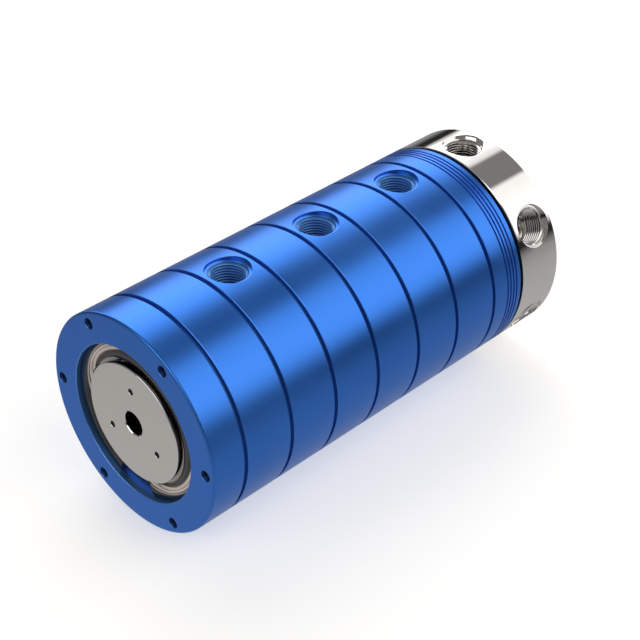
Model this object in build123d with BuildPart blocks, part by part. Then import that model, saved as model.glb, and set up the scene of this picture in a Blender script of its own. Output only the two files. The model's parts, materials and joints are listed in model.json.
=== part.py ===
from build123d import *
from math import cos, radians, sin
import os

# A six-passage rotary union. A stack of turned rings, clamped by six long
# screws, is the standing housing. A one-piece flanged rotor turns in it on two
# ball bearings. Oil enters through a port of each channel ring, crosses into
# the rotor through an annular channel, runs along a drilled passage and leaves
# through a port of the flange.
#
# Millimetres. The rotor turns about X, the flange's mounting face is at x = 0,
# the rest lies towards -X, and the ports of channels 2, 4 and 6 face +Z.
# Angles about the axis are counted from +Z towards +Y.

# --- driving dimensions --------------------------------------------------------

# Housing stack
channel_count = 6
channel_pitch = 25.3
front_edge_round = 1.1
rear_edge_chamfer = 0.5
joint_groove_width = 2.0
joint_groove_depth = 1.75
joint_lip_chamfer = 0.2
fine_groove_count = 4
fine_groove_pitch = 2.05
fine_groove_width = 1.0
fine_groove_depth = 0.6
fine_groove_start = 9.7         # from the last joint to the first fine groove

# Rotor
front_journal_radius = 27.5
journal_step = 1.5              # front journal up to the seal land
rear_journal_step = 1.0         # seal land up to the rear journal
rear_shoulder_step = 3.0        # rear journal up to the shoulder by the flange
flange_thickness = 24.5
flange_chamfer = 0.3
running_gap = 1.75              # housing's rear face to the flange
rotor_recess = 1.0              # rotor's front face behind the housing's
rotor_edge_round = 0.5
centre_bore_radius = 5.5
centre_bore_chamfer = 0.35
small_hole_circle_radius = 16.25
small_hole_count = 3
small_hole_radius = 1.5         # M3
small_hole_depth = 6.0
small_hole_chamfer = 0.1
mounting_edge_distance = 10.0
mounting_hole_radius = 3.0      # M6
mounting_hole_depth = 14.0
mounting_hole_chamfer = 0.4

# Oil way
port_thread_radius = 8.33       # G3/8, to the thread's root
port_thread_depth = 12.0
port_thread_chamfer = 0.4
port_drill_radius = 5.0
spotface_radius = 10.1
spotface_depth = 1.75
channel_width = 11.0
passage_circle_radius = 16.5
passage_radius = 4.5
passage_overrun = 6.0           # past the middle of its channel
cross_hole_radius = 4.0
plug_radius = 6.0
plug_length = 6.5
plug_recess = 0.5
plug_chamfer = 0.4
plug_socket_radius = 2.9        # across the corners of the hexagon
plug_socket_depth = 3.5

# Seals
land_clearance = 0.2            # ring bores round the rotor
seal_clearance = 0.05           # PTFE rings round the rotor
seal_ring_section = 2.25
energiser_section = 2.7
seal_width = 4.0
seal_side_clearance = 0.1
joint_seal_offset = 1.6         # from the seal pocket out to the joint seal
joint_seal_section = 2.6
joint_seal_thickness = 1.6
joint_seal_clearance = 0.1
dust_seal_width = 2.5

# Bearings and what holds them
front_bearing_section = 8.5     # 55 x 72 x 9
front_bearing_width = 9.0
rear_bearing_section = 9.0      # 60 x 78 x 10
rear_bearing_width = 10.0
ball_share = 0.28               # ball radius in shares of the bearing's section
ball_count = 20
ball_clearance = 0.03
race_share = 0.62               # pitch circle to a race's rim, in ball radii
cage_thickness = 2.0
cage_side_clearance = 0.4       # cage to shields
cage_pocket_clearance = 0.1
shield_thickness = 0.4
shield_inset = 0.35
shield_seat = 0.5
shield_clearance = 0.15
bore_edge_round = 0.6
front_ring_wall = 2.75
rear_ring_wall = 2.4
race_relief_depth = 0.5
race_relief_section = 5.7       # front journal's radius out to the relief
snap_ring_recess = 3.0          # housing's front face to the snap ring
snap_ring_thickness = 2.5
snap_ring_crown = 0.9
snap_ring_groove_depth = 1.5
snap_ring_section = 7.0         # from the seat inwards
snap_ring_gap = 34.0            # degrees
snap_ring_gap_middle = 175.0
shaft_ring_thickness = 1.5
shaft_ring_groove_depth = 1.0
shaft_ring_height = 1.0         # above the journal
shaft_ring_gap = 30.0           # degrees

# Bracket holes in the front face, M5
bracket_hole_count = 6
bracket_edge_distance = 5.0
bracket_hole_radius = 2.5
bracket_hole_depth = 8.0
bracket_hole_chamfer = 0.15

# Tie screws, M4
tie_count = 6
tie_wall = 1.8                  # metal inside and outside the screw heads
tie_thread_radius = 2.0
tie_hole_clearance = 0.25
tie_head_radius = 3.5
tie_head_height = 4.0
tie_head_recess = 0.5
tie_head_clearance = 0.2
tie_head_chamfer = 0.4
tie_engagement = 7.0
tie_tip_clearance = 1.0
tie_socket_radius = 1.73        # across the corners of the hexagon
tie_socket_depth = 2.0

# --- sizes that follow ----------------------------------------------------------

front_ring_length = snap_ring_recess + snap_ring_thickness + front_bearing_width + front_ring_wall
seal_pocket_width = seal_width + 2 * seal_side_clearance
rear_ring_length = seal_pocket_width + rear_ring_wall + rear_bearing_width + dust_seal_width

flange_front_x = -flange_thickness
housing_rear_x = flange_front_x - running_gap
rear_ring_x = housing_rear_x - rear_ring_length
channels_x = rear_ring_x - channel_count * channel_pitch
housing_front_x = channels_x - front_ring_length
rotor_front_x = housing_front_x + rotor_recess
flange_middle_x = -flange_thickness / 2

snap_ring_x = housing_front_x + snap_ring_recess
front_bearing_x = snap_ring_x + snap_ring_thickness
front_bearing_rear_x = front_bearing_x + front_bearing_width
rear_bearing_x = rear_ring_x + seal_pocket_width + rear_ring_wall
rear_bearing_rear_x = rear_bearing_x + rear_bearing_width

seal_land_radius = front_journal_radius + journal_step
rear_journal_radius = seal_land_radius + rear_journal_step
rear_shoulder_radius = rear_journal_radius + rear_shoulder_step
front_seat_radius = front_journal_radius + front_bearing_section
rear_seat_radius = rear_journal_radius + rear_bearing_section
front_relief_radius = front_journal_radius + race_relief_section
rear_relief_radius = rear_journal_radius + race_relief_section
land_bore_radius = seal_land_radius + land_clearance
seal_ring_bore_radius = seal_land_radius + seal_clearance
seal_ring_radius = seal_ring_bore_radius + seal_ring_section
seal_pocket_radius = seal_ring_radius + energiser_section
joint_seal_bore_radius = seal_pocket_radius + joint_seal_offset
joint_seal_radius = joint_seal_bore_radius + joint_seal_section
tie_head_bore_radius = tie_head_radius + tie_head_clearance
tie_circle_radius = rear_seat_radius + tie_wall + tie_head_bore_radius
tie_hole_radius = tie_thread_radius + tie_hole_clearance
tie_spread = 180 / tie_count
housing_radius = tie_circle_radius + tie_head_bore_radius + tie_wall
flange_radius = housing_radius
groove_floor_radius = housing_radius - joint_groove_depth
lip_radius = housing_radius - joint_lip_chamfer
lip_start = joint_groove_width / 2
lip_end = lip_start + joint_lip_chamfer
bracket_hole_circle_radius = housing_radius - bracket_edge_distance
bracket_spread = 180 / bracket_hole_count
mounting_circle_radius = flange_radius - mounting_edge_distance
spotface_floor_radius = housing_radius - spotface_depth

joint_xs = [channels_x + n * channel_pitch for n in range(channel_count + 1)]
channel_xs = [x + channel_pitch / 2 for x in joint_xs[:channel_count]]
channel_angles = [n * 360 / channel_count for n in range(channel_count)]
port_angles = [0 if n % 2 else 180 for n in range(channel_count)]


# --- placing --------------------------------------------------------------------

def end_plane(x, facing):
    """A plane across the axis at x, facing +X (1) or -X (-1), whose own x runs along +Z."""
    return Plane(origin=(x, 0, 0), x_dir=(0, 0, 1), z_dir=(facing, 0, 0))


def outward_plane(x, angle, radius=0.0):
    """A plane at x that faces outwards at this angle, at this radius."""
    out = Vector(0, sin(radians(angle)), cos(radians(angle)))
    return Plane(origin=Vector(x, 0, 0) + out * radius, x_dir=(1, 0, 0), z_dir=out)


def profile_plane(angle):
    """The half-plane through the axis at this angle: its own x is X and its own y is the radius."""
    return Plane(origin=(0, 0, 0), x_dir=(1, 0, 0), z_dir=(0, -cos(radians(angle)), sin(radians(angle))))


def along_plane(x, angle, radius):
    """A plane at x facing +X, centred at this angle and radius."""
    y = radius * sin(radians(angle))
    z = radius * cos(radians(angle))
    return Plane(origin=(x, y, z), x_dir=(0, 0, 1), z_dir=(1, 0, 0))


def save(piece, name):
    piece.part.label = name
    export_step(piece.part, f"parts/{name}.step")


def turned_ring(x, length, inner_radius, outer_radius):
    """A plain ring of rectangular section about the axis."""
    with BuildPart() as ring:
        with BuildSketch(end_plane(x, 1)):
            Circle(outer_radius)
            Circle(inner_radius, mode=Mode.SUBTRACT)
        extrude(amount=length)
    return ring


os.makedirs("parts", exist_ok=True)

# --- housing: front end ring ------------------------------------------------------
# Seats the front bearing behind a snap ring. Six threaded holes in its front face
# take a bracket, and the tie screws end in six more in its rear face.

with BuildPart() as front_end_ring:
    with BuildSketch(Plane.XZ):
        with BuildLine():
            Polyline(
                (housing_front_x, front_seat_radius),
                (housing_front_x, housing_radius),
                (channels_x - lip_end, housing_radius),
                (channels_x - lip_start, lip_radius),
                (channels_x - lip_start, groove_floor_radius),
                (channels_x, groove_floor_radius),
                (channels_x, land_bore_radius),
                (front_bearing_rear_x + race_relief_depth, land_bore_radius),
                (front_bearing_rear_x + race_relief_depth, front_relief_radius),
                (front_bearing_rear_x, front_relief_radius),
                (front_bearing_rear_x, front_seat_radius),
                (front_bearing_x, front_seat_radius),
                (front_bearing_x, front_seat_radius + snap_ring_groove_depth),
                (snap_ring_x, front_seat_radius + snap_ring_groove_depth),
                (snap_ring_x, front_seat_radius),
                close=True,
            )
        make_face()
    revolve(axis=Axis.X)
    front_rims = front_end_ring.edges().filter_by(GeomType.CIRCLE).group_by(Axis.X)[0].sort_by(SortBy.RADIUS)
    fillet(front_rims[0], radius=bore_edge_round)
    fillet(front_rims[-1], radius=front_edge_round)
    with Locations(end_plane(housing_front_x, -1)):
        with PolarLocations(bracket_hole_circle_radius, bracket_hole_count, start_angle=bracket_spread):
            CounterSinkHole(
                radius=bracket_hole_radius,
                counter_sink_radius=bracket_hole_radius + bracket_hole_chamfer,
                depth=bracket_hole_depth,
                counter_sink_angle=90,
            )
    with Locations(end_plane(channels_x, 1)):
        with PolarLocations(tie_circle_radius, tie_count, start_angle=tie_spread):
            Hole(radius=tie_thread_radius, depth=tie_engagement + tie_tip_clearance)
save(front_end_ring, "front_end_ring")


# --- housing: channel rings -------------------------------------------------------
# Each holds one annular channel and its port. The front face carries the pocket
# of a rotary seal and the groove of the joint seal, and a rebate at each end
# makes half of the groove that marks the joint.

def channel_ring(front_x, rear_x, port_angle):
    middle_x = (front_x + rear_x) / 2
    channel_start_x = middle_x - channel_width / 2
    channel_end_x = middle_x + channel_width / 2
    with BuildPart() as ring:
        with BuildSketch(Plane.XZ):
            with BuildLine():
                Polyline(
                    (front_x, seal_pocket_radius),
                    (front_x, joint_seal_bore_radius - joint_seal_clearance),
                    (front_x + joint_seal_thickness, joint_seal_bore_radius - joint_seal_clearance),
                    (front_x + joint_seal_thickness, joint_seal_radius + joint_seal_clearance),
                    (front_x, joint_seal_radius + joint_seal_clearance),
                    (front_x, groove_floor_radius),
                    (front_x + lip_start, groove_floor_radius),
                    (front_x + lip_start, lip_radius),
                    (front_x + lip_end, housing_radius),
                    (rear_x - lip_end, housing_radius),
                    (rear_x - lip_start, lip_radius),
                    (rear_x - lip_start, groove_floor_radius),
                    (rear_x, groove_floor_radius),
                    (rear_x, land_bore_radius),
                    (channel_end_x, land_bore_radius),
                    (channel_end_x, seal_pocket_radius),
                    (channel_start_x, seal_pocket_radius),
                    (channel_start_x, land_bore_radius),
                    (front_x + seal_pocket_width, land_bore_radius),
                    (front_x + seal_pocket_width, seal_pocket_radius),
                    close=True,
                )
            make_face()
        revolve(axis=Axis.X)
        with Locations(outward_plane(middle_x, port_angle, housing_radius)):
            Hole(radius=spotface_radius, depth=spotface_depth)
            Hole(radius=port_drill_radius, depth=housing_radius - land_bore_radius)
        with Locations(outward_plane(middle_x, port_angle, spotface_floor_radius)):
            CounterSinkHole(
                radius=port_thread_radius,
                counter_sink_radius=port_thread_radius + port_thread_chamfer,
                depth=port_thread_depth,
                counter_sink_angle=90,
            )
        with Locations(end_plane(front_x, -1)):
            with PolarLocations(tie_circle_radius, tie_count, start_angle=tie_spread):
                Hole(radius=tie_hole_radius, depth=rear_x - front_x)
    return ring


for n in range(channel_count):
    save(channel_ring(joint_xs[n], joint_xs[n + 1], port_angles[n]), f"channel_ring_{n + 1}")


# --- housing: rear end ring -------------------------------------------------------
# Seats the rear bearing and the dust seal, and takes the heads of the tie screws.
# Four fine grooves run round it.

with BuildPart() as rear_end_ring:
    with BuildSketch(Plane.XZ):
        with BuildLine():
            Polyline(
                (rear_ring_x, seal_pocket_radius),
                (rear_ring_x, joint_seal_bore_radius - joint_seal_clearance),
                (rear_ring_x + joint_seal_thickness, joint_seal_bore_radius - joint_seal_clearance),
                (rear_ring_x + joint_seal_thickness, joint_seal_radius + joint_seal_clearance),
                (rear_ring_x, joint_seal_radius + joint_seal_clearance),
                (rear_ring_x, groove_floor_radius),
                (rear_ring_x + lip_start, groove_floor_radius),
                (rear_ring_x + lip_start, lip_radius),
                (rear_ring_x + lip_end, housing_radius),
                (housing_rear_x - rear_edge_chamfer, housing_radius),
                (housing_rear_x, housing_radius - rear_edge_chamfer),
                (housing_rear_x, rear_seat_radius),
                (rear_bearing_x, rear_seat_radius),
                (rear_bearing_x, rear_relief_radius),
                (rear_bearing_x - race_relief_depth, rear_relief_radius),
                (rear_bearing_x - race_relief_depth, land_bore_radius),
                (rear_ring_x + seal_pocket_width, land_bore_radius),
                (rear_ring_x + seal_pocket_width, seal_pocket_radius),
                close=True,
            )
        make_face()
    revolve(axis=Axis.X)
    for n in range(fine_groove_count):
        with BuildSketch(Plane.XZ):
            with Locations((rear_ring_x + fine_groove_start + n * fine_groove_pitch, housing_radius)):
                Rectangle(fine_groove_width, 2 * fine_groove_depth)
        revolve(axis=Axis.X, mode=Mode.SUBTRACT)
    with Locations(end_plane(housing_rear_x, 1)):
        with PolarLocations(tie_circle_radius, tie_count, start_angle=tie_spread):
            CounterBoreHole(
                radius=tie_hole_radius,
                counter_bore_radius=tie_head_bore_radius,
                counter_bore_depth=tie_head_height + tie_head_recess,
                depth=rear_ring_length,
            )
save(rear_end_ring, "rear_end_ring")

# --- housing: tie screws ----------------------------------------------------------
# Six long M4 socket screws clamp the stack from behind.

tie_head_x = housing_rear_x - tie_head_recess
tie_seat_x = tie_head_x - tie_head_height
tie_tip_x = channels_x - tie_engagement

with BuildPart() as tie_screws:
    with BuildSketch(end_plane(tie_seat_x, 1)):
        with PolarLocations(tie_circle_radius, tie_count, start_angle=tie_spread):
            Circle(tie_head_radius)
    extrude(amount=tie_head_height)
    with BuildSketch(end_plane(tie_tip_x, 1)):
        with PolarLocations(tie_circle_radius, tie_count, start_angle=tie_spread):
            Circle(tie_thread_radius)
    extrude(amount=tie_seat_x - tie_tip_x)
    with BuildSketch(end_plane(tie_head_x, 1)):
        with PolarLocations(tie_circle_radius, tie_count, start_angle=tie_spread):
            RegularPolygon(tie_socket_radius, 6)
    extrude(amount=-tie_socket_depth, mode=Mode.SUBTRACT)
    head_rims = tie_screws.edges().filter_by(GeomType.CIRCLE).group_by(Axis.X)[-1]
    chamfer(head_rims, length=tie_head_chamfer)
save(tie_screws, "tie_screws")

# --- seals ------------------------------------------------------------------------
# At each joint: a PTFE ring that runs on the rotor, the square elastomer ring
# that presses it inwards, and the joint seal between the two housing rings.

for n, x in enumerate(joint_xs, start=1):
    seal_x = x + seal_side_clearance
    rotary_seal = turned_ring(seal_x, seal_width, seal_ring_bore_radius, seal_ring_radius)
    save(rotary_seal, f"rotary_seal_{n}")
    energiser = turned_ring(seal_x, seal_width, seal_ring_radius, seal_pocket_radius)
    save(energiser, f"seal_energiser_{n}")
    joint_seal = turned_ring(x, joint_seal_thickness, joint_seal_bore_radius, joint_seal_radius)
    save(joint_seal, f"joint_seal_{n}")

dust_seal = turned_ring(
    rear_bearing_rear_x, dust_seal_width, rear_shoulder_radius + seal_clearance, rear_seat_radius
)
save(dust_seal, "dust_seal")


# --- bearings ---------------------------------------------------------------------
# Shielded thin-section ball bearings: two races, a ring of balls in a cage, and
# a pressed shield in each side of the outer race.

def bearing(name, front_x, width, bore_radius, seat_radius):
    middle_x = front_x + width / 2
    rear_x = front_x + width
    pitch_radius = (bore_radius + seat_radius) / 2
    ball_radius = ball_share * (seat_radius - bore_radius)
    inner_rim_radius = pitch_radius - race_share * ball_radius
    outer_rim_radius = pitch_radius + race_share * ball_radius
    shield_radius = outer_rim_radius + shield_seat
    shield_depth = shield_inset + shield_thickness

    with BuildPart() as inner_race:
        with BuildSketch(end_plane(front_x, 1)):
            Circle(inner_rim_radius)
            Circle(bore_radius, mode=Mode.SUBTRACT)
        extrude(amount=width)
        with BuildSketch(Plane.XZ):
            with Locations((middle_x, pitch_radius)):
                Circle(ball_radius + ball_clearance)
        revolve(axis=Axis.X, mode=Mode.SUBTRACT)
    save(inner_race, f"{name}_inner_race")

    with BuildPart() as outer_race:
        with BuildSketch(end_plane(front_x, 1)):
            Circle(seat_radius)
            Circle(outer_rim_radius, mode=Mode.SUBTRACT)
        extrude(amount=width)
        with BuildSketch(Plane.XZ):
            with Locations((middle_x, pitch_radius)):
                Circle(ball_radius + ball_clearance)
        revolve(axis=Axis.X, mode=Mode.SUBTRACT)
        with BuildSketch(end_plane(front_x, 1)):
            Circle(shield_radius)
        extrude(amount=shield_depth, mode=Mode.SUBTRACT)
        with BuildSketch(end_plane(rear_x, -1)):
            Circle(shield_radius)
        extrude(amount=shield_depth, mode=Mode.SUBTRACT)
    save(outer_race, f"{name}_outer_race")

    with BuildPart() as balls:
        with Locations(end_plane(middle_x, 1)):
            with PolarLocations(pitch_radius, ball_count):
                Sphere(ball_radius)
    save(balls, f"{name}_balls")

    with BuildPart() as cage:
        cage_width = width - 2 * (shield_depth + cage_side_clearance)
        with BuildSketch(end_plane(middle_x, 1)):
            Circle(pitch_radius + cage_thickness / 2)
            Circle(pitch_radius - cage_thickness / 2, mode=Mode.SUBTRACT)
        extrude(amount=cage_width / 2, both=True)
        for n in range(ball_count):
            with Locations(outward_plane(middle_x, n * 360 / ball_count, pitch_radius)):
                Cylinder(ball_radius + cage_pocket_clearance, 2 * cage_thickness, mode=Mode.SUBTRACT)
    save(cage, f"{name}_cage")

    with BuildPart() as shields:
        for shield_x in (front_x + shield_inset, rear_x - shield_depth):
            with BuildSketch(end_plane(shield_x, 1)):
                Circle(shield_radius)
                Circle(inner_rim_radius + shield_clearance, mode=Mode.SUBTRACT)
            extrude(amount=shield_thickness)
    save(shields, f"{name}_shields")


bearing("front_bearing", front_bearing_x, front_bearing_width, front_journal_radius, front_seat_radius)
bearing("rear_bearing", rear_bearing_x, rear_bearing_width, rear_journal_radius, rear_seat_radius)

# --- snap rings -------------------------------------------------------------------
# A crowned, polished snap ring in the housing holds the front bearing's outer
# race; a flat one on the rotor holds its inner race.

snap_ring_outer_radius = front_seat_radius + snap_ring_groove_depth
snap_ring_inner_radius = front_seat_radius - snap_ring_section
snap_ring_middle_radius = (front_seat_radius + snap_ring_inner_radius) / 2

with BuildPart() as housing_snap_ring:
    with BuildSketch(profile_plane(snap_ring_gap_middle - snap_ring_gap / 2)):
        with BuildLine():
            ThreePointArc(
                (snap_ring_x, front_seat_radius),
                (snap_ring_x - snap_ring_crown, snap_ring_middle_radius),
                (snap_ring_x, snap_ring_inner_radius),
            )
            Polyline(
                (snap_ring_x, snap_ring_inner_radius),
                (front_bearing_x, snap_ring_inner_radius),
                (front_bearing_x, snap_ring_outer_radius),
                (snap_ring_x, snap_ring_outer_radius),
                (snap_ring_x, front_seat_radius),
            )
        make_face()
    revolve(axis=Axis.X, revolution_arc=360 - snap_ring_gap)
save(housing_snap_ring, "housing_snap_ring")

shaft_ring_x = front_bearing_x - shaft_ring_thickness
shaft_groove_radius = front_journal_radius - shaft_ring_groove_depth

with BuildPart() as shaft_snap_ring:
    with BuildSketch(profile_plane(-shaft_ring_gap / 2)):
        with BuildLine():
            Polyline(
                (shaft_ring_x, shaft_groove_radius),
                (front_bearing_x, shaft_groove_radius),
                (front_bearing_x, front_journal_radius + shaft_ring_height),
                (shaft_ring_x, front_journal_radius + shaft_ring_height),
                close=True,
            )
        make_face()
    revolve(axis=Axis.X, revolution_arc=360 - shaft_ring_gap)
save(shaft_snap_ring, "shaft_snap_ring")

# --- rotor ------------------------------------------------------------------------
# One piece of stainless steel: front journal, seal land, rear journal, shoulder
# and flange. Six passages are drilled from behind, each to its own channel and
# its own flange port.

with BuildPart() as rotor_shaft:
    with BuildSketch(Plane.XZ):
        with BuildLine():
            Polyline(
                (rotor_front_x, centre_bore_radius + centre_bore_chamfer),
                (rotor_front_x, front_journal_radius),
                (shaft_ring_x, front_journal_radius),
                (shaft_ring_x, shaft_groove_radius),
                (front_bearing_x, shaft_groove_radius),
                (front_bearing_x, front_journal_radius),
                (front_bearing_rear_x, front_journal_radius),
                (front_bearing_rear_x, seal_land_radius),
                (rear_bearing_x, seal_land_radius),
                (rear_bearing_x, rear_journal_radius),
                (rear_bearing_rear_x, rear_journal_radius),
                (rear_bearing_rear_x, rear_shoulder_radius),
                (flange_front_x, rear_shoulder_radius),
                (flange_front_x, flange_radius - flange_chamfer),
                (flange_front_x + flange_chamfer, flange_radius),
                (-flange_chamfer, flange_radius),
                (0, flange_radius - flange_chamfer),
                (0, centre_bore_radius + centre_bore_chamfer),
                (-centre_bore_chamfer, centre_bore_radius),
                (rotor_front_x + centre_bore_chamfer, centre_bore_radius),
                close=True,
            )
        make_face()
    revolve(axis=Axis.X)
    front_rims = rotor_shaft.edges().filter_by(GeomType.CIRCLE).group_by(Axis.X)[0].sort_by(SortBy.RADIUS)
    fillet(front_rims[-1], radius=rotor_edge_round)
    for angle, channel_x in zip(channel_angles, channel_xs):
        with Locations(along_plane(0, angle, passage_circle_radius)):
            CounterBoreHole(
                radius=passage_radius,
                counter_bore_radius=plug_radius,
                counter_bore_depth=plug_recess + plug_length,
                depth=passage_overrun - channel_x,
            )
        with Locations(outward_plane(channel_x, angle, seal_land_radius)):
            Hole(radius=cross_hole_radius, depth=seal_land_radius - passage_circle_radius)
        with Locations(outward_plane(flange_middle_x, angle, flange_radius)):
            Hole(radius=spotface_radius, depth=spotface_depth)
            Hole(radius=port_drill_radius, depth=flange_radius - passage_circle_radius)
        with Locations(outward_plane(flange_middle_x, angle, spotface_floor_radius)):
            CounterSinkHole(
                radius=port_thread_radius,
                counter_sink_radius=port_thread_radius + port_thread_chamfer,
                depth=port_thread_depth,
                counter_sink_angle=90,
            )
    with Locations(end_plane(0, 1)):
        with PolarLocations(mounting_circle_radius, channel_count, start_angle=180 / channel_count):
            CounterSinkHole(
                radius=mounting_hole_radius,
                counter_sink_radius=mounting_hole_radius + mounting_hole_chamfer,
                depth=mounting_hole_depth,
                counter_sink_angle=90,
            )
    with Locations(end_plane(rotor_front_x, -1)):
        with PolarLocations(small_hole_circle_radius, small_hole_count):
            CounterSinkHole(
                radius=small_hole_radius,
                counter_sink_radius=small_hole_radius + small_hole_chamfer,
                depth=small_hole_depth,
                counter_sink_angle=90,
            )
save(rotor_shaft, "rotor_shaft")

# --- rotor: passage plugs -----------------------------------------------------------
# Six screwed plugs with hexagon sockets close the drilled passages behind.

with BuildPart() as passage_plugs:
    with BuildSketch(end_plane(-plug_recess, -1)):
        with PolarLocations(passage_circle_radius, channel_count):
            Circle(plug_radius)
    extrude(amount=plug_length)
    with BuildSketch(end_plane(-plug_recess, -1)):
        with PolarLocations(passage_circle_radius, channel_count):
            RegularPolygon(plug_socket_radius, 6)
    extrude(amount=plug_socket_depth, mode=Mode.SUBTRACT)
    plug_rims = passage_plugs.edges().filter_by(GeomType.CIRCLE).group_by(Axis.X)[-1]
    chamfer(plug_rims, length=plug_chamfer)
save(passage_plugs, "passage_plugs")
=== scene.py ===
import json
from math import cos, radians, sin, tau

import bmesh
import bpy
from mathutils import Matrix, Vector


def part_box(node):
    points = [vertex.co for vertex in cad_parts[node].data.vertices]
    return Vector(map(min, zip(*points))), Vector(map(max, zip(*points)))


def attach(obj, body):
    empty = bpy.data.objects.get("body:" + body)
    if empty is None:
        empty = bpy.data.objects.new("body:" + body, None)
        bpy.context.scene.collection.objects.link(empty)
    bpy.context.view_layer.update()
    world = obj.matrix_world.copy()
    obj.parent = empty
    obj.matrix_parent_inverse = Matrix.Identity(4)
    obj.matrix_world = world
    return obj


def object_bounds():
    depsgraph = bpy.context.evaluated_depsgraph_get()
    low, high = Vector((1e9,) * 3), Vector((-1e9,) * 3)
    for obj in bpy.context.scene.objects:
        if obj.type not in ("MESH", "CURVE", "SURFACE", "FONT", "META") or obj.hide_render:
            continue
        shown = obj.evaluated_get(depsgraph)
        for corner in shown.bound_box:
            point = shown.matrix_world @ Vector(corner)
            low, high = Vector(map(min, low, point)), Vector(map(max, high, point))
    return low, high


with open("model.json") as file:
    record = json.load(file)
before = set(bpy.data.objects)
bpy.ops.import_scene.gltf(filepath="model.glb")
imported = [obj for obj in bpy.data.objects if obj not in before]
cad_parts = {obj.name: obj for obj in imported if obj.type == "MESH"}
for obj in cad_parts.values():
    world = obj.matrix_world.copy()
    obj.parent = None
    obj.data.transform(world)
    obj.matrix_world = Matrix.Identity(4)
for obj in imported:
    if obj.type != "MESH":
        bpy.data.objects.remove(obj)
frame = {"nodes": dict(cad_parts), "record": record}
cad_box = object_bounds()
nodes = frame["nodes"]
mounts = {mount["name"]: mount for mount in frame["record"]["mounts"]}


# --- Housing rings -----------------------------------------------------------
# Eight rings of aluminium, turned on a lathe, blasted lightly and anodised
# blue, then stacked on one axis. The dye sits in a thin clear oxide, so the
# metal shows through it and the sharp edges come out a little paler.

HOUSING_RINGS = ["front_end_ring"] + [f"channel_ring_{n}" for n in range(1, 7)] + ["rear_end_ring"]


def put(tree, kind, feeds=None, **settings):
    """Adds a node, sets its properties, and feeds its inputs with values or other nodes' outputs."""
    node = tree.nodes.new("ShaderNode" + kind)
    for name, value in settings.items():
        setattr(node, name, value)
    for name, value in (feeds or {}).items():
        if isinstance(value, bpy.types.NodeSocket):
            tree.links.new(value, node.inputs[name])
        else:
            node.inputs[name].default_value = value
    return node


def calc(tree, operation, *values):
    """The result of one Math node."""
    return put(tree, "Math", dict(enumerate(values)), operation=operation).outputs[0]


def spread(tree, value, low, high, to_low=0.0, to_high=1.0):
    """Value rescaled from low..high to to_low..to_high, with soft ends."""
    feeds = {"Value": value, "From Min": low, "From Max": high, "To Min": to_low, "To Max": to_high}
    return put(tree, "MapRange", feeds, interpolation_type="SMOOTHSTEP").outputs["Result"]


def blend_colours(tree, factor, first, second):
    """A colour that goes from first to second as factor goes from 0 to 1."""
    mix = put(tree, "Mix", data_type="RGBA")
    for socket, value in ((mix.inputs[0], factor), (mix.inputs[6], first), (mix.inputs[7], second)):
        if isinstance(value, bpy.types.NodeSocket):
            tree.links.new(value, socket)
        else:
            socket.default_value = value
    return mix.outputs[2]


def coordinates(tree, source):
    """X, Y and Z of one texture coordinate, such as Object for the place or Normal for the facing."""
    return put(tree, "SeparateXYZ", {0: put(tree, "TexCoord").outputs[source]}).outputs


def off_axis(tree, at):
    """The vector from the union's axis straight out to a place."""
    return put(tree, "CombineXYZ", {"Y": at["Y"], "Z": at["Z"]}).outputs[0]


def axis_distance(tree, at):
    """The distance from the union's axis to a place."""
    return put(tree, "VectorMath", {0: off_axis(tree, at)}, operation="LENGTH").outputs["Value"]


def start_group(name, inputs, outputs):
    """A shader node group with named number inputs and outputs: the tree and its two end nodes."""
    tree = bpy.data.node_groups.new(name, "ShaderNodeTree")
    for socket_name, value in inputs.items():
        socket = tree.interface.new_socket(socket_name, in_out="INPUT", socket_type="NodeSocketFloat")
        socket.default_value = value
    for socket_name in outputs:
        tree.interface.new_socket(socket_name, in_out="OUTPUT", socket_type="NodeSocketFloat")
    return tree, tree.nodes.new("NodeGroupInput"), tree.nodes.new("NodeGroupOutput")


END_FACING = 0.5            # a surface that faces along the axis more squarely is a faced end
GRAIN_WANDER = 12.0         # how often a tool line changes along its way, in one metre


def make_turned_grain():
    """The fine rings of a lathe tool: round the axis on a turned side, concentric on a faced end."""
    tree, given, result = start_group("turned_grain", {"Pitch": 0.0004}, ["Height"])
    at = coordinates(tree, "Object")
    facing = coordinates(tree, "Normal")
    end_face = calc(tree, "GREATER_THAN", calc(tree, "ABSOLUTE", facing["X"]), END_FACING)
    radial_part = calc(tree, "MULTIPLY", end_face, axis_distance(tree, at))
    axial_part = calc(tree, "MULTIPLY", calc(tree, "SUBTRACT", 1.0, end_face), at["X"])
    across = calc(tree, "DIVIDE", calc(tree, "ADD", radial_part, axial_part), given.outputs["Pitch"])
    slow_y = calc(tree, "MULTIPLY", at["Y"], GRAIN_WANDER)
    slow_z = calc(tree, "MULTIPLY", at["Z"], GRAIN_WANDER)
    line = put(tree, "CombineXYZ", {"X": across, "Y": slow_y, "Z": slow_z})
    grain = put(tree, "TexNoise", {"Vector": line.outputs[0], "Scale": 1.0, "Detail": 2.0})
    tree.links.new(grain.outputs["Fac"], result.inputs["Height"])
    return tree


def make_fine_grit():
    """The even speckle of a blasted, tumbled or moulded surface."""
    tree, given, result = start_group("fine_grit", {"Size": 0.0002}, ["Height"])
    place = put(tree, "TexCoord")
    scale = calc(tree, "DIVIDE", 1.0, given.outputs["Size"])
    grit = put(tree, "TexNoise", {"Vector": place.outputs["Object"], "Scale": scale, "Detail": 3.0})
    tree.links.new(grit.outputs["Fac"], result.inputs["Height"])
    return tree


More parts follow.
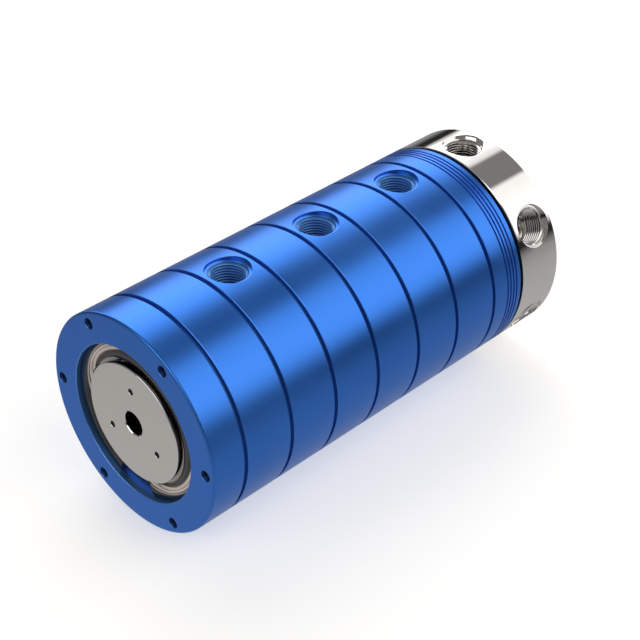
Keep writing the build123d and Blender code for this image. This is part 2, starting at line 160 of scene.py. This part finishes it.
def make_cloudiness():
    """Slow, soft variation over a surface, as in a dye bath or from a wiping cloth."""
    tree, given, result = start_group("cloudiness", {"Size": 0.03}, ["Mask"])
    place = put(tree, "TexCoord")
    scale = calc(tree, "DIVIDE", 1.0, given.outputs["Size"])
    cloud = put(tree, "TexNoise", {"Vector": place.outputs["Object"], "Scale": scale, "Detail": 4.0})
    tree.links.new(spread(tree, cloud.outputs["Fac"], 0.3, 0.7), result.inputs["Mask"])
    return tree


RUB_PATCHES = 220.0         # patches of rub in one metre of edge


def make_edge_rub():
    """A mask that is 1 on sharp outer edges, broken up where hands and trays have rubbed them."""
    tree, given, result = start_group("edge_rub", {"Width": 0.0004}, ["Mask"])
    flat_normal = put(tree, "NewGeometry").outputs["Normal"]
    round_normal = put(tree, "Bevel", {"Radius": given.outputs["Width"]}, samples=4).outputs["Normal"]
    agreement = put(tree, "VectorMath", {0: flat_normal, 1: round_normal}, operation="DOT_PRODUCT")
    edge = spread(tree, agreement.outputs["Value"], 0.99, 0.9)
    place = put(tree, "TexCoord")
    patchy = put(tree, "TexNoise", {"Vector": place.outputs["Object"], "Scale": RUB_PATCHES, "Detail": 2.0})
    kept = spread(tree, patchy.outputs["Fac"], 0.35, 0.6)
    tree.links.new(calc(tree, "MULTIPLY", edge, kept), result.inputs["Mask"])
    return tree


turned_grain = make_turned_grain()
fine_grit = make_fine_grit()
cloudiness = make_cloudiness()
edge_rub = make_edge_rub()


def empty_tree(owner):
    """The node tree of a material or a world, with nothing in it."""
    owner.use_nodes = True
    owner.node_tree.nodes.clear()
    return owner.node_tree


def start_material(name, metallic):
    """A new node material with its Principled shader: the material, its tree and the shader."""
    material = bpy.data.materials.new(name)
    tree = empty_tree(material)
    shader = put(tree, "BsdfPrincipled", {"Metallic": metallic})
    put(tree, "OutputMaterial", {"Surface": shader.outputs["BSDF"]})
    return material, tree, shader


def use_group(tree, group, output, **values):
    """One output of a shared effect, placed in a material with its own values."""
    node = put(tree, "Group", node_tree=group)
    for name, value in values.items():
        node.inputs[name].default_value = value
    return node.outputs[output]


def bump(tree, height, strength, distance):
    """The normal of a surface that this height roughens, with the distance in metres."""
    feeds = {"Height": height, "Strength": strength, "Distance": distance}
    return put(tree, "Bump", feeds).outputs["Normal"]


def feed(tree, shader, **sources):
    """Links outputs to the shader's inputs. Underscores in a name stand for spaces."""
    for name, output in sources.items():
        tree.links.new(output, shader.inputs[name.replace("_", " ")])


def mottle(tree, shader, first, second, size, rough):
    """Lets a finish drift between two colours and between two roughnesses, in clouds of this size."""
    cloud = use_group(tree, cloudiness, "Mask", Size=size)
    feed(
        tree, shader,
        Base_Color=blend_colours(tree, cloud, first, second),
        Roughness=spread(tree, cloud, 0.0, 1.0, *rough),
    )


def dress(material, *names):
    """Gives CAD nodes their finish."""
    for name in names:
        for slot in nodes[name].material_slots:
            slot.material = material


FACE_DEPTH = 0.0001         # the front face ends this far behind the foremost point
GROOVE_FLOOR = 0.0484       # radius just above the floors of the joint grooves
RING_SURFACE = 0.04995      # radius just under the rings' turned surface
FRONT_BORE = 0.0375         # inside this radius the rings show only the bore of the front one
WALL_FACING = 0.6           # a surface that faces outwards less squarely is a wall


def make_recessed():
    """A mask that is 1 in the rings' bores and grooves and on the walls of their spot faces, where the blue
    anodising paints shade and light.
    """
    tree, given, result = start_group("recessed", {"Front": 0.0}, ["Mask"])
    at = coordinates(tree, "Object")
    radius = axis_distance(tree, at)
    outwards = put(tree, "VectorMath", {0: off_axis(tree, at)}, operation="NORMALIZE").outputs["Vector"]
    normal = put(tree, "TexCoord").outputs["Normal"]
    aligned = put(tree, "VectorMath", {0: normal, 1: outwards}, operation="DOT_PRODUCT").outputs["Value"]
    behind_face = calc(tree, "GREATER_THAN", at["X"], calc(tree, "ADD", given.outputs["Front"], FACE_DEPTH))
    deep = calc(tree, "LESS_THAN", radius, GROOVE_FLOOR)
    upright = calc(tree, "LESS_THAN", calc(tree, "ABSOLUTE", aligned), WALL_FACING)
    wall = calc(tree, "MULTIPLY", upright, calc(tree, "LESS_THAN", radius, RING_SURFACE))
    mask = calc(tree, "MULTIPLY", behind_face, calc(tree, "MAXIMUM", deep, wall))
    tree.links.new(mask, result.inputs["Mask"])
    return tree


recessed = make_recessed()


def make_blue_anodising():
    """Blue dye over bright metal, paler where it is rubbed, and less metallic inside bores and grooves,
    where shade and light are painted: a darker blue in grooves and on walls, a paler blue in the bores.
    """
    material, tree, shader = start_material("blue_anodising", metallic=1.0)
    inside = use_group(tree, recessed, "Mask", Front=cad_box[0][0])
    cloud = use_group(tree, cloudiness, "Mask", Size=0.045)
    rubbed = use_group(tree, edge_rub, "Mask", Width=0.00035)
    dye = blend_colours(tree, cloud, (0.052, 0.225, 0.80, 1), (0.060, 0.245, 0.84, 1))
    thinned = calc(tree, "MULTIPLY", rubbed, 0.35)
    worn = blend_colours(tree, thinned, dye, (0.30, 0.50, 0.95, 1))
    grain = use_group(tree, turned_grain, "Height", Pitch=0.00022)
    grit = use_group(tree, fine_grit, "Height", Size=0.00012)
    height = calc(tree, "ADD", calc(tree, "MULTIPLY", grain, 0.7), calc(tree, "MULTIPLY", grit, 0.3))
    # Painted shade and light inside the rings: a darker blue in grooves and on walls is painted shade, a
    # paler blue in the bores is painted light.
    in_bore = calc(tree, "LESS_THAN", axis_distance(tree, coordinates(tree, "Object")), FRONT_BORE)
    recess_painted_shade_and_light = blend_colours(tree, in_bore, (0.075, 0.240, 0.62, 1), (0.170, 0.420, 1.0, 1))
    feed(
        tree, shader,
        Base_Color=blend_colours(tree, inside, worn, recess_painted_shade_and_light),
        Metallic=calc(tree, "SUBTRACT", 1.0, calc(tree, "MULTIPLY", inside, 0.15)),
        Roughness=spread(tree, cloud, 0.0, 1.0, 0.31, 0.35),
        Normal=bump(tree, height, strength=0.08, distance=0.00002),
    )
    return material


blue_anodising = make_blue_anodising()
dress(blue_anodising, *HOUSING_RINGS)


# --- Threads of the housing --------------------------------------------------
# Each port is tapped G3/8, a 55 degree thread with rounded crests, and the six
# holes in the front face are tapped M5. The rings hold the bores at the thread's
# root, and these ridges stand in them.

THREAD_SEGMENTS = 64        # steps in one turn
RUN_OUT = 0.15              # turns over which a ridge fades at each end
FAINTEST = 0.02             # what is left of a ridge at its very end
FIRST_TURN = 0.5            # from the mouth to the ridge's middle, in pitches
SUNK = 0.00003              # how far a ridge's foot lies under the bore's wall
SHARP_ANGLE = radians(50)


def millimetres(value):
    return value / 1000


def ridge_outline(pitch, depth):
    """One turn's section, up and down again: places along the bore and heights above its wall."""
    end = 0.5 * pitch
    foot = 0.42 * pitch
    shoulder = 0.15 * pitch
    top = pitch / 15
    climb = [(-end, -SUNK), (-end, SUNK), (-foot, SUNK), (-shoulder, 0.82 * depth), (-top, depth)]
    return climb + [(-along, height) for along, height in reversed(climb)]


def cut_thread(name, mouth, inward, root_radius, pitch, depth, length):
    """A helical ridge with its root, which together line the wall of a bore from its mouth inwards."""
    axis = Vector(inward).normalized()
    side = axis.orthogonal().normalized()
    other = axis.cross(side)
    outline = ridge_outline(pitch, depth)
    turns = length / pitch - 2 * FIRST_TURN
    steps = int(turns * THREAD_SEGMENTS)
    mesh = bmesh.new()
    rings = []
    for step in range(steps + 1):
        turn = step / THREAD_SEGMENTS
        left = min(turn, turns - turn)
        fade = min(1.0, max(FAINTEST, left / RUN_OUT))
        out = side * cos(tau * turn) + other * sin(tau * turn)
        start = Vector(mouth) + axis * (pitch * (turn + FIRST_TURN))
        rings.append([
            mesh.verts.new(start + axis * (along * fade) + out * (root_radius - height * fade))
            for along, height in outline
        ])
    for one, two in zip(rings, rings[1:]):
        for n in range(len(outline)):
            m = (n + 1) % len(outline)
            face = mesh.faces.new((one[n], one[m], two[m], two[n]))
            face.material_index = 1 if min(outline[n][1], outline[m][1]) > depth / 2 else 0
    mesh.faces.new(rings[0])
    mesh.faces.new(list(reversed(rings[-1])))
    bmesh.ops.recalc_face_normals(mesh, faces=mesh.faces)
    for face in mesh.faces:
        face.smooth = True
    data = bpy.data.meshes.new(name)
    mesh.to_mesh(data)
    mesh.free()
    data.set_sharp_from_angle(angle=SHARP_ANGLE)
    ridge = bpy.data.objects.new(name, data)
    bpy.context.scene.collection.objects.link(ridge)
    return ridge


def make_tapped_anodising(name, first, second):
    """The anodised surface that a tap leaves, which scatters light more than a turned one."""
    material, tree, shader = start_material(name, metallic=0.65)
    mottle(tree, shader, first, second, size=0.002, rough=(0.32, 0.40))
    grit = use_group(tree, fine_grit, "Height", Size=0.00012)
    feed(tree, shader, Normal=bump(tree, grit, strength=0.1, distance=0.00001))
    return material


PORT_COUNT = 6
PORT_PITCH = millimetres(1.337)         # G3/8, 19 turns to the inch
PORT_RIDGE = millimetres(0.856)
METRIC_RIDGE = 0.54                     # of a metric thread's pitch


def port_thread(name, port):
    """The thread of one port, which the frame gives by its middle, outward axis and root radius."""
    outwards = Vector(port["axis"])
    length = millimetres(port["dims"]["length_mm"])
    mouth = Vector(port["pos_m"]) + outwards * (length / 2)
    radius = millimetres(port["dims"]["r_mm"])
    return cut_thread(name, mouth, -outwards, radius, PORT_PITCH, PORT_RIDGE, length)


def set_in(thread, root, crest, body):
    """Gives a thread its materials, and the body of the piece it is cut in."""
    thread.data.materials.append(root)
    thread.data.materials.append(crest)
    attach(thread, body)


def thread_circle(name, holes, first_angle, pitch, depth, material, body):
    """Threads a circle of holes round the axis, the first at an angle from straight up. Millimetres."""
    outwards = Vector(holes["axis"])
    count = holes["dims"]["count"]
    circle = millimetres(holes["dims"]["pcd_mm"]) / 2
    radius = millimetres(holes["dims"]["hole_r_mm"])
    step, length = millimetres(pitch), millimetres(depth)
    for n in range(count):
        angle = radians(first_angle + n * 360 / count)
        mouth = Vector(holes["pos_m"]) + Vector((0.0, sin(angle), cos(angle))) * circle
        thread = cut_thread(f"{name}_{n + 1}", mouth, -outwards, radius, step, METRIC_RIDGE * step, length)
        set_in(thread, material, material, body)


# Crests are painted a paler blue than the roots: a painted highlight on the crests, painted shade in the
# roots.
painted_shade_thread_root = make_tapped_anodising("painted_shade_thread_root", (0.075, 0.260, 0.72, 1), (0.085, 0.280, 0.76, 1))
painted_highlight_thread_crest = make_tapped_anodising("painted_highlight_thread_crest", (0.240, 0.580, 1.0, 1), (0.270, 0.620, 1.0, 1))
# The M5 threads are painted near black, a painted shade in the holes.
painted_shade_thread = make_tapped_anodising("painted_shade_thread", (0.012, 0.040, 0.15, 1), (0.016, 0.050, 0.18, 1))
for n in range(PORT_COUNT):
    thread = port_thread(f"housing_port_thread_{n + 1}", mounts[f"housing_port_{n + 1}"])
    set_in(thread, painted_shade_thread_root, painted_highlight_thread_crest, "housing")

thread_circle(
    "bracket_hole_thread", mounts["housing_bracket_holes"], first_angle=30, pitch=0.8, depth=8.0,
    material=painted_shade_thread, body="housing",
)


# --- Tie screws --------------------------------------------------------------
# Six long M4 socket screws of hardened steel, blackened, draw the rings
# together from behind. Their heads sit in counterbores of the rear end ring.

def make_black_oxide():
    material, tree, shader = start_material("black_oxide", metallic=1.0)
    cloud = use_group(tree, cloudiness, "Mask", Size=0.004)
    rubbed = use_group(tree, edge_rub, "Mask", Width=0.0003)
    oxide = blend_colours(tree, cloud, (0.030, 0.030, 0.034, 1), (0.055, 0.053, 0.052, 1))
    thinned = calc(tree, "MULTIPLY", rubbed, 0.6)
    grit = use_group(tree, fine_grit, "Height", Size=0.00015)
    feed(
        tree, shader,
        Base_Color=blend_colours(tree, thinned, oxide, (0.35, 0.34, 0.33, 1)),
        Roughness=spread(tree, cloud, 0.0, 1.0, 0.34, 0.48),
        Normal=bump(tree, grit, strength=0.15, distance=0.00002),
    )
    return material


black_oxide = make_black_oxide()
dress(black_oxide, "tie_screws")


# --- Seals -------------------------------------------------------------------
# At each joint a filled PTFE ring runs on the rotor, a nitrile ring presses it
# inwards, and a second nitrile ring closes the joint. A nitrile dust seal shuts
# the rear end.

def make_filled_ptfe():
    material, tree, shader = start_material("filled_ptfe", metallic=0.0)
    mottle(tree, shader, (0.20, 0.13, 0.075, 1), (0.26, 0.175, 0.10, 1), size=0.002, rough=(0.42, 0.55))
    grain = use_group(tree, turned_grain, "Height", Pitch=0.00015)
    feed(tree, shader, Normal=bump(tree, grain, strength=0.2, distance=0.00002))
    return material


def make_nitrile():
    material, tree, shader = start_material("nitrile", metallic=0.0)
    mottle(tree, shader, (0.010, 0.010, 0.011, 1), (0.020, 0.020, 0.021, 1), size=0.006, rough=(0.50, 0.65))
    grit = use_group(tree, fine_grit, "Height", Size=0.0002)
    feed(tree, shader, Normal=bump(tree, grit, strength=0.2, distance=0.00003))
    return material


JOINT_COUNT = 7
filled_ptfe = make_filled_ptfe()
nitrile = make_nitrile()
for n in range(1, JOINT_COUNT + 1):
    dress(filled_ptfe, f"rotary_seal_{n}")
    dress(nitrile, f"seal_energiser_{n}", f"joint_seal_{n}")
dress(nitrile, "dust_seal")


# --- Bearings ----------------------------------------------------------------
# Two thin ball bearings carry the rotor. Races and balls are ground bearing
# steel, the cages pressed brass, and the shields dull pressed steel.

def make_ground_steel():
    material, tree, shader = start_material("ground_steel", metallic=1.0)
    mottle(tree, shader, (0.50, 0.49, 0.47, 1), (0.60, 0.59, 0.57, 1), size=0.008, rough=(0.14, 0.22))
    grain = use_group(tree, turned_grain, "Height", Pitch=0.0001)
    feed(tree, shader, Normal=bump(tree, grain, strength=0.1, distance=0.00001))
    return material


def make_pressed_brass():
    material, tree, shader = start_material("pressed_brass", metallic=1.0)
    mottle(tree, shader, (0.55, 0.38, 0.13, 1), (0.68, 0.48, 0.18, 1), size=0.004, rough=(0.26, 0.42))
    grit = use_group(tree, fine_grit, "Height", Size=0.0003)
    feed(tree, shader, Normal=bump(tree, grit, strength=0.2, distance=0.00002))
    return material


def make_dull_steel():
    material, tree, shader = start_material("dull_steel", metallic=1.0)
    mottle(tree, shader, (0.22, 0.22, 0.22, 1), (0.32, 0.31, 0.30, 1), size=0.006, rough=(0.30, 0.45))
    grit = use_group(tree, fine_grit, "Height", Size=0.0002)
    feed(tree, shader, Normal=bump(tree, grit, strength=0.15, distance=0.00002))
    return material


ground_steel = make_ground_steel()
pressed_brass = make_pressed_brass()
dull_steel = make_dull_steel()
for end in ("front", "rear"):
    dress(ground_steel, f"{end}_bearing_inner_race", f"{end}_bearing_outer_race", f"{end}_bearing_balls")
    dress(pressed_brass, f"{end}_bearing_cage")
    dress(dull_steel, f"{end}_bearing_shields")


# --- Snap rings --------------------------------------------------------------
# A crowned ring of blackened spring steel snaps into the housing before the
# front bearing. Its fitting tool has drawn bright lines over it on both sides.
# Bright lines are painted over it on both sides, a painted highlight for the
# streaks of light on its crown, and its outer edge is painted near black, a
# painted shade.
# A small bright one sits on the rotor.

RING_EDGE = 0.0357          # radius beyond which the ring lies in its groove
RING_SHADE = 0.0003         # width over which it darkens towards that edge
RING_TOP = 0.0360           # radii between which the lines wind inwards
RING_FOOT = 0.0290
HIGHLIGHT_SIDE = radians(-45)    # the lines lie evenly on both sides of this angle
LINES_AT_TOP = radians(50)  # and this far from it at the ring's outer radius
LINES_AT_FOOT = radians(122)
LINES_IN_BUNDLE = 3.2       # how fast the lines change across a bundle
LINES_ALONG = 0.6           # and how slowly along it


def make_painted_highlight_lines():
    """A mask of two bundles of fine lines that wind inwards over the ring, one on each side of a given
    angle, along which a highlight is painted.
    """
    tree, given, result = start_group("painted_highlight_lines", {"Spread": 0.30}, ["Mask"])
    at = coordinates(tree, "Object")
    turned_y = calc(
        tree, "SUBTRACT",
        calc(tree, "MULTIPLY", at["Y"], cos(HIGHLIGHT_SIDE)), calc(tree, "MULTIPLY", at["Z"], sin(HIGHLIGHT_SIDE)),
    )
    turned_z = calc(
        tree, "ADD",
        calc(tree, "MULTIPLY", at["Y"], sin(HIGHLIGHT_SIDE)), calc(tree, "MULTIPLY", at["Z"], cos(HIGHLIGHT_SIDE)),
    )
    away = calc(tree, "ABSOLUTE", calc(tree, "ARCTAN2", turned_y, turned_z))
    winding = {
        "Value": axis_distance(tree, at), "From Min": RING_TOP, "From Max": RING_FOOT,
        "To Min": LINES_AT_TOP, "To Max": LINES_AT_FOOT,
    }
    middle = put(tree, "MapRange", winding).outputs["Result"]
    beside = calc(tree, "DIVIDE", calc(tree, "SUBTRACT", away, middle), given.outputs["Spread"])
    bundle = spread(tree, calc(tree, "ABSOLUTE", beside), 1.0, 0.5)
    across = calc(tree, "MULTIPLY", beside, LINES_IN_BUNDLE)
    along = calc(tree, "MULTIPLY", away, LINES_ALONG)
    track = put(tree, "CombineXYZ", {"X": across, "Y": along}).outputs[0]
    lines = put(tree, "TexNoise", {"Vector": track, "Scale": 1.0, "Detail": 3.0}).outputs["Fac"]
    highlight_streaks = spread(tree, lines, 0.36, 0.50)
    tree.links.new(calc(tree, "MULTIPLY", bundle, highlight_streaks), result.inputs["Mask"])
    return tree


painted_highlight_lines = make_painted_highlight_lines()


def make_blackened_spring_steel():
    material, tree, shader = start_material("blackened_spring_steel", metallic=1.0)
    cloud = use_group(tree, cloudiness, "Mask", Size=0.01)
    highlight_streaks = use_group(tree, painted_highlight_lines, "Mask", Spread=0.42)
    oxide = blend_colours(tree, cloud, (0.062, 0.058, 0.054, 1), (0.085, 0.080, 0.074, 1))
    # Painted highlight: bright lines over the dark oxide stand in for the streaks of light on the crowned
    # ring.
    oxide_with_painted_highlight = blend_colours(tree, highlight_streaks, oxide, (1.0, 0.85, 0.76, 1))
    radius = axis_distance(tree, coordinates(tree, "Object"))
    # Painted shade: near black towards the ring's outer edge, where it meets the bore.
    painted_edge_shade = spread(tree, radius, RING_EDGE - RING_SHADE, RING_EDGE)
    grain = use_group(tree, turned_grain, "Height", Pitch=0.0003)
    height = calc(tree, "ADD", calc(tree, "MULTIPLY", grain, 0.1), calc(tree, "MULTIPLY", highlight_streaks, -1.0))
    feed(
        tree, shader,
        Base_Color=blend_colours(tree, painted_edge_shade, oxide_with_painted_highlight, (0.012, 0.012, 0.012, 1)),
        Roughness=spread(tree, cloud, 0.0, 1.0, 0.10, 0.16),
        Normal=bump(tree, height, strength=0.8, distance=0.0003),
    )
    return material


def make_polished_spring_steel():
    material, tree, shader = start_material("polished_spring_steel", metallic=1.0)
    mottle(tree, shader, (0.45, 0.40, 0.36, 1), (0.55, 0.49, 0.44, 1), size=0.01, rough=(0.06, 0.10))
    grain = use_group(tree, turned_grain, "Height", Pitch=0.0003)
    feed(tree, shader, Normal=bump(tree, grain, strength=0.08, distance=0.00002))
    return material


blackened_spring_steel = make_blackened_spring_steel()
polished_spring_steel = make_polished_spring_steel()
dress(blackened_spring_steel, "housing_snap_ring")
dress(polished_spring_steel, "shaft_snap_ring")


# --- Rotor -------------------------------------------------------------------
# One piece of stainless steel. Its flange and journals are polished bright, and
# its front end is faced on the lathe and left satin.

FRONT_END_DEPTH = 0.0005    # how far behind the foremost point the front end's face may lie
SATIN_ROUGHNESS = 0.22      # what the faced end adds to the polished roughness


def make_polished_rotor():
    material, tree, shader = start_material("polished_rotor", metallic=1.0)
    faced = spread(tree, coordinates(tree, "Normal")["X"], -0.9, -0.99)
    front_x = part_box("rotor_shaft")[0][0]
    at_front = calc(tree, "LESS_THAN", coordinates(tree, "Object")["X"], front_x + FRONT_END_DEPTH)
    satin = calc(tree, "MULTIPLY", faced, at_front)
    cloud = use_group(tree, cloudiness, "Mask", Size=0.03)
    bright = blend_colours(tree, cloud, (0.86, 0.83, 0.80, 1), (0.90, 0.87, 0.84, 1))
    polish = spread(tree, cloud, 0.0, 1.0, 0.05, 0.08)
    grain = use_group(tree, turned_grain, "Height", Pitch=0.0003)
    feed(
        tree, shader,
        Base_Color=blend_colours(tree, satin, bright, (0.86, 0.82, 0.78, 1)),
        Roughness=calc(tree, "ADD", calc(tree, "MULTIPLY", satin, SATIN_ROUGHNESS), polish),
        Normal=bump(tree, grain, strength=0.04, distance=0.00001),
    )
    return material


polished_rotor = make_polished_rotor()
dress(polished_rotor, "rotor_shaft")


# --- Threads of the rotor ----------------------------------------------------
# The flange's six ports are tapped like the housing's, and their crests are
# painted a paler steel than their roots, a painted highlight. The three M3 holes
# of the front end and the six M6 holes of the mounting face are painted dark, a
# painted shade in the holes.

def make_tapped_steel(name, first, second, rough):
    """Steel as a tap leaves it, between two colours and two roughnesses."""
    material, tree, shader = start_material(name, metallic=0.85)
    mottle(tree, shader, first, second, size=0.001, rough=rough)
    grit = use_group(tree, fine_grit, "Height", Size=0.0001)
    feed(tree, shader, Normal=bump(tree, grit, strength=0.1, distance=0.00001))
    return material


# The M3 and M6 threads are painted dark, a painted shade in the holes.
tapped_steel = make_tapped_steel(
    "tapped_steel", (0.060, 0.054, 0.048, 1), (0.100, 0.090, 0.080, 1), rough=(0.40, 0.55)
)
# The crests get a paler steel than the roots, a painted highlight.
painted_highlight_crest_steel = make_tapped_steel(
    "painted_highlight_crest_steel", (0.96, 0.94, 0.91, 1), (0.98, 0.96, 0.94, 1), rough=(0.06, 0.12)
)
for n in range(PORT_COUNT):
    thread = port_thread(f"flange_port_thread_{n + 1}", mounts[f"flange_port_{n + 1}"])
    set_in(thread, polished_rotor, painted_highlight_crest_steel, "rotor")

thread_circle(
    "front_hole_thread", mounts["rotor_front_holes"], first_angle=0, pitch=0.5, depth=6.0,
    material=tapped_steel, body="rotor",
)
thread_circle(
    "mounting_thread", mounts["flange_mounting_holes"], first_angle=30, pitch=1.0, depth=14.0,
    material=tapped_steel, body="rotor",
)


# --- Passage plugs -----------------------------------------------------------
# Six screwed plugs of blackened steel with hexagon sockets close the drilled
# passages in the flange's mounting face.

dress(black_oxide, "passage_plugs")


# --- Studio ------------------------------------------------------------------
# A pale floor under two long panels of light, one along each side with a grey
# gap overhead, a shorter panel before the front end, and the camera.

FLOOR_HALF = 4.0
MIRRORED_GLOW = 0.42        # what polished metal sees of the floor close by
MIRRORED_FADE = 0.50        # distance from the object at which that has halved
MIRRORED_FALL = 1.8         # how steeply it falls off
SEEN_PAINT = (0.97, 0.94, 0.89, 1)
SEEN_GLOW = 0.44            # lifts the paint to white where no shadow lies
floor_mesh = bpy.data.meshes.new("floor")
floor_z = cad_box[0][2]
corners = [(-1, -1), (1, -1), (1, 1), (-1, 1)]
floor_mesh.from_pydata([(x * FLOOR_HALF, y * FLOOR_HALF, floor_z) for x, y in corners], [], [(0, 1, 2, 3)])
floor = bpy.data.objects.new("floor", floor_mesh)
bpy.context.scene.collection.objects.link(floor)


def make_floor_paint():
    """White to the camera but for the object's shadow, and in the metal a grey that fades with distance."""
    material = bpy.data.materials.new("floor_paint")
    tree = empty_tree(material)
    at = coordinates(tree, "Object")
    under = put(tree, "Clamp", {"Value": at["X"], "Min": cad_box[0][0], "Max": cad_box[1][0]})
    beyond = calc(tree, "SUBTRACT", at["X"], under.outputs[0])
    spot = put(tree, "CombineXYZ", {"X": beyond, "Y": at["Y"]})
    away = put(tree, "VectorMath", {0: spot.outputs[0]}, operation="LENGTH").outputs["Value"]
    fall = calc(tree, "POWER", calc(tree, "DIVIDE", away, MIRRORED_FADE), MIRRORED_FALL)
    dimmed = calc(tree, "DIVIDE", MIRRORED_GLOW, calc(tree, "ADD", 1.0, fall))
    dim_glow = put(tree, "Emission", {"Strength": dimmed})
    dim_paint = put(tree, "BsdfDiffuse", {"Color": (0.02, 0.02, 0.02, 1)})
    mirrored = put(tree, "AddShader", {0: dim_paint.outputs[0], 1: dim_glow.outputs[0]})
    seen = put(tree, "BsdfDiffuse", {"Color": SEEN_PAINT})
    glow = put(tree, "Emission", {"Color": (1, 1, 1, 1), "Strength": SEEN_GLOW})
    bright = put(tree, "AddShader", {0: seen.outputs[0], 1: glow.outputs[0]})
    path = put(tree, "LightPath")
    feeds = {0: path.outputs["Is Camera Ray"], 1: mirrored.outputs[0], 2: bright.outputs[0]}
    put(tree, "OutputMaterial", {"Surface": put(tree, "MixShader", feeds).outputs[0]})
    return material


floor_mesh.materials.append(make_floor_paint())

# Of a side panel, with tilts in degrees from straight up: the edges between
# which it is dark, lit and dark again, the directions' x over which it starts,
# and the tilts between which its light goes from one strength to the other.
NEAR_PANEL = {"edges": (-86, -69, -22, -14), "start": (-0.2, 0.0), "turn": (-60, -20), "light": (1.32, 1.08)}
FAR_PANEL = {"edges": (11, 20, 69, 84), "start": (-0.1, 0.1), "turn": (45, 15), "light": (1.75, 0.90)}
FRONT_PANEL_LIGHT = 1.60
FRONT_PANEL_HEIGHT = (12, 46)           # its foot and top, in degrees above the horizon
FRONT_PANEL_SLANT = 0.577               # its half width is 30 degrees, and this is their tangent
FRONT_PANEL_SOFTNESS = (0.04, 0.06)     # of its foot and top, and of its sides
GAP_LIGHT = 0.21
HORIZON_LIGHT = 0.02
HORIZON_HEIGHT = (5, 13)                # degrees above the horizon over which that gives way to the gap's


def side_panel(tree, tilt, x, edges, start, turn, light):
    """The light that one long panel sends from a direction, which its tilt and its x give."""
    dark_before, lit_from, lit_to, dark_after = [radians(edge) for edge in edges]
    rising = spread(tree, tilt, dark_before, lit_from)
    falling = spread(tree, tilt, lit_to, dark_after, 1.0, 0.0)
    mask = calc(tree, "MULTIPLY", calc(tree, "MULTIPLY", rising, falling), spread(tree, x, *start))
    return calc(tree, "MULTIPLY", mask, spread(tree, tilt, radians(turn[0]), radians(turn[1]), *light))


def front_panel(tree, x, y, z):
    """The light that the short panel before the front end sends from a direction."""
    soft_height, soft_side = FRONT_PANEL_SOFTNESS
    foot, top = [sin(radians(angle)) for angle in FRONT_PANEL_HEIGHT]
    above = spread(tree, z, foot - soft_height, foot + soft_height)
    below = spread(tree, z, top - soft_height, top + soft_height, 1.0, 0.0)
    beside = calc(tree, "ADD", calc(tree, "ABSOLUTE", y), calc(tree, "MULTIPLY", x, FRONT_PANEL_SLANT))
    within = spread(tree, beside, -soft_side, soft_side, 1.0, 0.0)
    mask = calc(tree, "MULTIPLY", calc(tree, "MULTIPLY", above, below), within)
    return calc(tree, "MULTIPLY", mask, FRONT_PANEL_LIGHT)


def make_room():
    """White to the camera. The object sees the panels of light in a dim room."""
    world = bpy.data.worlds.new("room")
    tree = empty_tree(world)
    x, y, z = coordinates(tree, "Generated")
    tilt = calc(tree, "ARCTAN2", y, z)
    near = side_panel(tree, tilt, x, **NEAR_PANEL)
    far = side_panel(tree, tilt, x, **FAR_PANEL)
    panels = calc(tree, "MAXIMUM", calc(tree, "MAXIMUM", near, far), front_panel(tree, x, y, z))
    low, high = [sin(radians(angle)) for angle in HORIZON_HEIGHT]
    light = calc(tree, "MAXIMUM", panels, spread(tree, z, low, high, HORIZON_LIGHT, GAP_LIGHT))
    path = put(tree, "LightPath")
    strength = put(tree, "Mix", {0: path.outputs["Is Camera Ray"], 2: light, 3: 1.0}, data_type="FLOAT")
    background = put(tree, "Background", {"Color": (1, 1, 1, 1), "Strength": strength.outputs[0]})
    put(tree, "OutputWorld", {"Surface": background.outputs[0]})
    return world


scene = bpy.context.scene
scene.world = make_room()
scene.view_settings.view_transform = "Standard"

VIEW_DIRECTION = Vector((0.5796, 0.5768, -0.5757))
CAMERA_AHEAD = 0.2956       # before the front end
CAMERA_BESIDE = 0.4020      # beside the axis
CAMERA_ABOVE = 0.3991       # above the axis
LENS = 87.92                # millimetres, as is the sensor
SENSOR = 36.0
camera_data = bpy.data.cameras.new("camera")
camera_data.lens = LENS
camera_data.sensor_width = SENSOR
camera = bpy.data.objects.new("camera", camera_data)
camera.location = (cad_box[0][0] - CAMERA_AHEAD, -CAMERA_BESIDE, CAMERA_ABOVE)
camera.rotation_euler = VIEW_DIRECTION.to_track_quat("-Z", "Y").to_euler()
scene.collection.objects.link(camera)
scene.camera = camera
